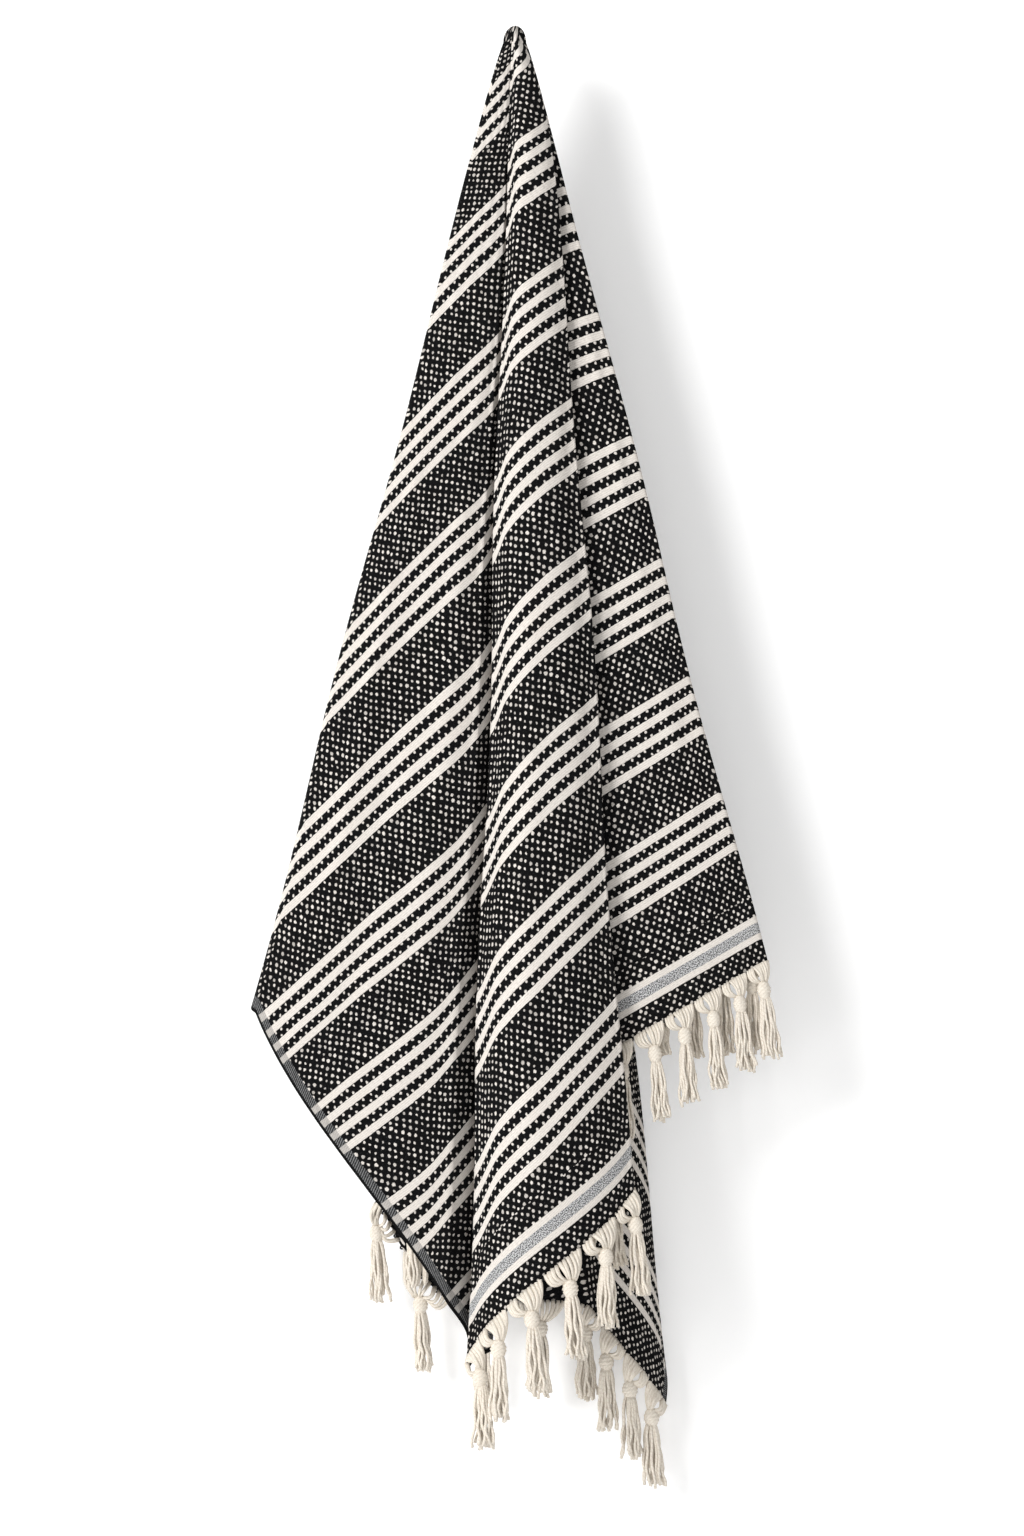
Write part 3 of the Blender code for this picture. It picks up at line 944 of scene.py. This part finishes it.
Threads = collections.namedtuple("Threads", "where across along lying aside waver from_side from_end")
Bands = collections.namedtuple("Bands", "in_repeat in_step in_group near_end band check")
Cover = collections.namedtuple("Cover", "mask colour pale")


def thread_places(wires, given):
    """Where a point lies among the threads, which waver a little, so that no edge is ruled."""
    across, along, _ = wires.split(given["Weave"])
    from_side, from_end, _ = wires.split(given["Edges"])
    waver = wires.noise(given["Weave"], WAVER_GRAIN, 1.0)
    sway = wires.noise(wires.join(along, across, 0.5), SWAY_GRAIN, 1.0)
    lying = wires.swayed(along, waver, WAVER_ALONG)
    aside = wires.swayed(across, sway, WAVER_ACROSS)
    return Threads(given["Weave"], across, along, lying, aside, waver, from_side, from_end)


def group_height(weave):
    return weave.band * BANDS + weave.row * CHECK_ROWS * (BANDS - 1)


def band_places(wires, weave, threads):
    """Where a point lies in the repeat: in the group of bands, or in the spotted ground after it."""
    step = weave.band + weave.row * CHECK_ROWS
    group = group_height(weave)
    repeats = wires.maths("MULTIPLY_ADD", threads.lying, 1 / weave.repeat, 0.5 * group / weave.repeat)
    in_repeat = wires.times(wires.maths("FRACT", repeats), weave.repeat)
    end = END_STRIP + END_CREAM * 2 + END_SPECKLE + PLAIN_BEFORE_END
    near_end = wires.maths("LESS_THAN", threads.from_end, end)
    in_group = wires.times(wires.maths("LESS_THAN", in_repeat, group), wires.less(1.0, near_end))
    in_step = wires.times(wires.maths("FRACT", wires.over(in_repeat, step)), step)
    band = wires.times(in_group, wires.below(in_step, weave.band, BAND_SOFT))
    check = wires.times(in_group, wires.less(1.0, band))
    return Bands(in_repeat, in_step, in_group, near_end, band, check)


def spot_rows(wires, weave, threads, bands):
    """The number of the row of spots that a point lies in, as a whole, and its place in that row."""
    group = group_height(weave)
    ground_rows = round((weave.repeat - group) / (weave.row * GROUND_PACKING))
    ground_row = (weave.repeat - group) / ground_rows
    check_row = wires.over(wires.less(bands.in_step, weave.band), weave.row)
    plain_row = wires.over(wires.less(bands.in_repeat, group), ground_row)
    end_row = wires.over(threads.from_end, weave.row)
    row = wires.choose(bands.in_group, wires.choose(bands.near_end, plain_row, end_row), check_row)
    return wires.maths("FLOOR", row), wires.maths("FRACT", row)


def spots(wires, weave, threads, bands):
    """How pale the staggered spots are. Each has its own place, size and strength by chance."""
    row, in_row = spot_rows(wires, weave, threads, bands)
    cell = wires.maths("ADD", wires.over(threads.aside, weave.cell), wires.times(row, 0.5))
    repeat = wires.maths("FLOOR", wires.over(threads.lying, weave.repeat))
    luck, aside, size = wires.chances(wires.join(wires.maths("FLOOR", cell), row, repeat))
    side = wires.times(wires.less(wires.maths("FRACT", cell), 0.5), weave.cell)
    side = wires.times(wires.swayed(side, aside, SPOT_ASIDE), wires.choose(bands.check, 0.95, 1.0))
    apart = wires.times(bands.check, wires.less(wires.times(row, CHECK_SPREAD), CHECK_SPREAD / 2))
    up = wires.times(wires.less(wires.less(in_row, 0.5), apart), weave.row)
    up = wires.swayed(up, luck, SPOT_ALONG)
    far = wires.maths("SQRT", wires.maths("ADD", wires.times(side, side), wires.times(up, up)))
    far = wires.swayed(far, wires.noise(threads.where, RAGGED_GRAIN, 1.0), SPOT_RAGGED)
    ground_size = wires.maths("MULTIPLY_ADD", size, 0.50, 0.70)
    radius = wires.times(weave.spot, wires.choose(bands.check, ground_size, 0.92))
    spot = wires.below(wires.less(far, radius), 0.0, SPOT_SOFT)
    ground_pale = wires.maths("MULTIPLY_ADD", luck, 0.5, 0.62)
    return wires.times(spot, wires.choose(bands.check, ground_pale, 0.95))


def cream_threads(wires, weave, threads):
    """The cream weft's colour, with painted shade in the grooves between its ribs, and how deep the
    groove between two of its ribs is.
    """
    rib = wires.maths("ABSOLUTE", wires.maths("SINE", wires.times(threads.lying, math.pi / RIB_PITCH)))
    # The groove mask sets both the dip of the bump and the painted shade in the groove.
    groove = wires.times(wires.ramp(rib, 0.45, 0.0), RIB_GROOVE_AND_SHADE)
    looks = {
        "Where": wires.join(wires.times(threads.across, 0.22), threads.along),
        "Fine": THREAD_GRAIN,
        "Colour": opaque(weave.cream),
        "Shade": opaque(weave.cream, 0.62),
        "Depth": 0.5,
    }
    thread = wires.wired("ShaderNodeGroup", looks, node_tree=fibre_group())
    return wires.blend(groove, thread["Colour"], opaque(weave.cream_painted_rib_shade)), groove


def end_cover(wires, weave, threads, cream):
    """The band that closes each short end: cream, speckled grey, cream."""
    inside = wires.less(wires.swayed(threads.from_end, threads.waver, WAVER_END), END_STRIP)
    whole = END_CREAM * 2 + END_SPECKLE
    mask = wires.times(wires.above(inside, 0.0, END_SOFT), wires.below(inside, whole, END_SOFT))
    after_cream = wires.above(inside, END_CREAM, END_SOFT)
    middle = wires.times(after_cream, wires.below(inside, whole - END_CREAM, END_SOFT))
    where = wires.join(threads.across, wires.times(threads.along, 0.8), 2.0)
    speckle = wires.ramp(wires.noise(where, SPECKLE_GRAIN, 1.0), 0.44, 0.56)
    grey = wires.blend(speckle, opaque(weave.grey, 0.10), opaque(weave.grey, 1.25))
    return Cover(mask, wires.blend(middle, cream, grey), wires.choose(middle, 1.0, 0.5))


def selvedge_cover(wires, weave, threads, band, cream, dark):
    """The selvedge: a dark outer cord and a grey twill, which the cream bands cross."""
    mask = wires.below(threads.from_side, SELVEDGE, BAND_SOFT)
    cord = wires.below(threads.from_side, SELVEDGE_CORD, BAND_SOFT)
    slanting = wires.maths("ADD", threads.along, wires.times(threads.from_side, 0.5))
    twill = wires.maths("SINE", wires.times(slanting, math.tau / TWILL_PITCH))
    grain = wires.noise(wires.join(wires.times(threads.across, 0.3), threads.along, 1.0), THREAD_GRAIN)
    lit = wires.ramp(wires.maths("MULTIPLY_ADD", twill, 0.25, grain), 0.35, 0.85)
    plain = wires.blend(wires.times(lit, TWILL_SHOWS), opaque(weave.charcoal), opaque(weave.grey))
    crossed = wires.blend(band, plain, wires.blend(TWILL_SHOWS, cream, plain))
    return Cover(mask, wires.blend(cord, crossed, dark), wires.choose(band, 0.3, 0.7))


def weave_group(weave):
    """The woven pattern: its colour, how pale it is, and its height."""
    wires, given, out = new_group(
        "towel weave",
        {"Weave": "Vector", "Edges": "Vector"},
        {"Colour": "Color", "Pale": "Float", "Height": "Float"},
    )
    threads = thread_places(wires, given)
    bands = band_places(wires, weave, threads)
    grain = wires.noise(threads.where, DARK_GRAIN)
    dark = wires.blend(wires.ramp(grain, 0.50, 0.72), opaque(weave.black), opaque(weave.charcoal))
    # The cream holds painted shade in the grooves between its ribs.
    cream, groove = cream_threads(wires, weave, threads)
    pale = wires.maths("MAXIMUM", bands.band, spots(wires, weave, threads, bands))
    shown = wires.blend(pale, dark, cream)
    end = end_cover(wires, weave, threads, cream)
    selvedge = selvedge_cover(wires, weave, threads, bands.band, cream, dark)
    for cover in (end, selvedge):
        shown = wires.blend(cover.mask, shown, cover.colour)
        pale = wires.choose(cover.mask, pale, cover.pale)
    lift = wires.maths("MULTIPLY_ADD", pale, 0.55, wires.times(grain, 0.35))
    wires.fill(out, {"Colour": shown, "Pale": pale, "Height": wires.less(lift, groove)})
    return wires.tree


def new_material(name):
    made = bpy.data.materials.new(name)
    made.use_nodes = True
    return made, Wiring(made.node_tree), made.node_tree.nodes["Principled BSDF"]


def cloth_material(weave):
    made, wires, shader = new_material("woven cotton")
    places = {
        socket: wires.wired("ShaderNodeUVMap", uv_map=layer)[0]
        for socket, layer in (("Weave", "weave"), ("Edges", "edges"))
    }
    pattern = wires.wired("ShaderNodeGroup", places, node_tree=weave_group(weave))
    looks = {
        "Base Color": pattern["Colour"],
        "Roughness": wires.choose(pattern["Pale"], 0.93, 0.80),
        "Normal": wires.bump(pattern["Height"], 0.55, 0.0006),
        "Specular IOR Level": 0.06,
    }
    wires.fill(shader, looks)
    return made


def yarn_material(name, tint, tone_and_painted_shade):
    made, wires, shader = new_material(name)
    run, turn, _ = wires.split(wires.wired("ShaderNodeUVMap", uv_map="strand")[0])
    spiral = wires.maths("ADD", wires.over(run, PLY_PITCH), turn)
    ply = wires.maths("ABSOLUTE", wires.maths("SINE", wires.times(spiral, math.pi)))
    spun = {
        "Where": wires.wired("ShaderNodeTexCoord")["Object"],
        "Fine": YARN_GRAIN,
        "Colour": opaque(tint),
        "Shade": opaque(tone_and_painted_shade),
        "Depth": 0.35,
    }
    yarn = wires.wired("ShaderNodeGroup", spun, node_tree=fibre_group())
    height = wires.maths("MULTIPLY_ADD", yarn["Height"], 0.5, ply)
    looks = {
        # Painted shade: the hollows between the plies are darkened towards the shade colour, beside the
        # bump that the ply gives.
        "Base Color": wires.blend(wires.ramp(ply, 0.42, 0.05, 0.35), yarn["Colour"], opaque(tone_and_painted_shade)),
        "Roughness": wires.choose(ply, 0.92, 0.78),
        "Normal": wires.bump(height, 0.5, 0.0004),
        "Specular IOR Level": 0.12,
    }
    wires.fill(shader, looks)
    return made


def studio_material(look):
    """The wall and the floor, which aren't seen from behind."""
    made, wires, shader = new_material("pale studio")
    looks = {
        "Base Color": opaque(look.wall),
        "Roughness": 0.9,
        "Specular IOR Level": 0.1,
        "Emission Color": opaque(look.wall),
        "Emission Strength": WALL_GLOW,
    }
    wires.fill(shader, looks)
    behind = wires.wired("ShaderNodeNewGeometry")["Backfacing"]
    clear = wires.wired("ShaderNodeBsdfTransparent")[0]
    surface = wires.wired("ShaderNodeMixShader", {0: behind, 1: shader.outputs[0], 2: clear})[0]
    wires.fill(made.node_tree.nodes["Material Output"], {"Surface": surface})
    return made


# --- The studio ---

Lamp = collections.namedtuple("Lamp", "name size power place")
LAMPS = (
    Lamp("key", 1.8, 136.0, (-2.5, -3.1, 0.5)),
    Lamp("fill", 3.0, 26.0, (0.6, -4.2, -0.6)),
)
LAMP_AIM = Vector((0.0, 0.0, -0.65))
WORLD_LIGHT = 0.32
WHITE = (1.0, 1.0, 1.0, 1.0)
WALL_GLOW = 0.23
STAGE_HALF = 4.0
SENSOR_MM = 36.0
LENS_MM = 100.0
CAMERA_ASIDE = -0.003


def flat_sheet(name, corners, material):
    mesh = bpy.data.meshes.new(name)
    mesh.from_pydata(corners, [], [tuple(range(len(corners)))])
    mesh.materials.append(material)
    placed(name, mesh)


def build_stage(look):
    material = studio_material(look)
    far, low, half = look.wall_behind, -look.floor_below, STAGE_HALF
    wall = [(-half, far, low), (half, far, low), (half, far, half), (-half, far, half)]
    floor = [(-half, -half, low), (half, -half, low), (half, half, low), (-half, half, low)]
    flat_sheet("studio_wall", wall, material)
    flat_sheet("studio_floor", floor, material)


def build_lights():
    for lamp in LAMPS:
        data = bpy.data.lights.new(lamp.name, "AREA")
        data.shape = "DISK"
        data.size = lamp.size
        data.energy = lamp.power
        made = placed(lamp.name, data)
        made.location = lamp.place
        made.rotation_euler = (LAMP_AIM - Vector(lamp.place)).to_track_quat("-Z", "Y").to_euler()
    world = bpy.data.worlds.new("studio")
    world.use_nodes = True
    sky = {"Color": WHITE, "Strength": WORLD_LIGHT}
    Wiring(world.node_tree).fill(world.node_tree.nodes["Background"], sky)
    bpy.context.scene.world = world
    bpy.context.scene.view_settings.view_transform = "Standard"


def build_camera(look):
    data = bpy.data.cameras.new("camera")
    data.sensor_fit = "VERTICAL"
    data.sensor_height = SENSOR_MM
    data.sensor_width = SENSOR_MM
    data.lens = LENS_MM
    made = placed("camera", data)
    made.location = (CAMERA_ASIDE, -look.camera_away, -look.view_middle)
    made.rotation_euler = (math.radians(90), 0.0, 0.0)
    bpy.context.scene.camera = made


# --- Operators and panel ---


class TOWEL_OT_cloth(bpy.types.Operator):
    """Builds the woven cloth in the folds in which it hangs"""

    bl_idname = "towel.cloth"
    bl_label = "Woven cloth"

    def execute(self, context):
        scene = context.scene
        material = cloth_material(scene.towel_weave)
        piece = build_cloth(scene.towel_cloth, scene.towel_weave, material)
        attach(piece, "root")
        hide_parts("towel_cloth")
        return {"FINISHED"}


class TOWEL_OT_fringes(bpy.types.Operator):
    """Builds the tassels of both short ends and fits them to the cloth"""

    bl_idname = "towel.fringes"
    bl_label = "Tassels"

    def execute(self, context):
        scene = context.scene
        fringe, weave = scene.towel_fringe, scene.towel_weave
        # Both yarns get painted shade in the hollows between their plies; for the dark weft that colour
        # is the black.
        material = yarn_material("cotton yarn", fringe.yarn, fringe.yarn_tone_and_painted_shade)
        dark = yarn_material("dark weft", weave.charcoal, weave.black)
        pieces = []
        for side, node in ((FRONT, "fringe_front"), (BACK, "fringe_back")):
            piece = build_fringe(scene.towel_cloth, fringe, side, material)
            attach(piece, "root")
            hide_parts(node)
            loops = build_edge_loops(scene.towel_cloth, side, dark)
            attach(loops, "root")
            pieces += [piece, loops]
        return {"FINISHED"}


class TOWEL_OT_stage(bpy.types.Operator):
    """Builds the wall, the floor, the lights and the camera"""

    bl_idname = "towel.stage"
    bl_label = "Studio"

    def execute(self, context):
        look = context.scene.towel_studio
        build_stage(look)
        build_lights()
        build_camera(look)
        return {"FINISHED"}


class TOWEL_PT_panel(bpy.types.Panel):
    """Lists the towel's pieces and their sizes"""

    bl_idname = "TOWEL_PT_panel"
    bl_label = "Hammam towel"
    bl_space_type = "VIEW_3D"
    bl_region_type = "UI"
    bl_category = "Towel"

    def draw(self, context):
        for operator, groups in PANEL_ROWS:
            self.layout.operator(operator.bl_idname)
            box = self.layout.box()
            for group in groups:
                settings = getattr(context.scene, group)
                for name in settings.__annotations__:
                    box.prop(settings, name)


GROUPS = {
    "towel_cloth": TowelClothSizes,
    "towel_weave": TowelWeaveLook,
    "towel_fringe": TowelFringeSizes,
    "towel_studio": TowelStudioLook,
}
OPERATORS = (TOWEL_OT_cloth, TOWEL_OT_fringes, TOWEL_OT_stage)
PANEL_ROWS = (
    (TOWEL_OT_cloth, ("towel_cloth", "towel_weave")),
    (TOWEL_OT_fringes, ("towel_fringe",)),
    (TOWEL_OT_stage, ("towel_studio",)),
)


def register():
    for made in (*GROUPS.values(), *OPERATORS, TOWEL_PT_panel):
        bpy.utils.register_class(made)
    for name, group in GROUPS.items():
        setattr(bpy.types.Scene, name, PointerProperty(type=group))


def unregister():
    for name in GROUPS:
        delattr(bpy.types.Scene, name)
    for made in reversed((*GROUPS.values(), *OPERATORS, TOWEL_PT_panel)):
        bpy.utils.unregister_class(made)


def main():
    register()
    bpy.ops.towel.cloth()
    bpy.ops.towel.fringes()
    bpy.ops.towel.stage()


if __name__ == "__main__":
    main()
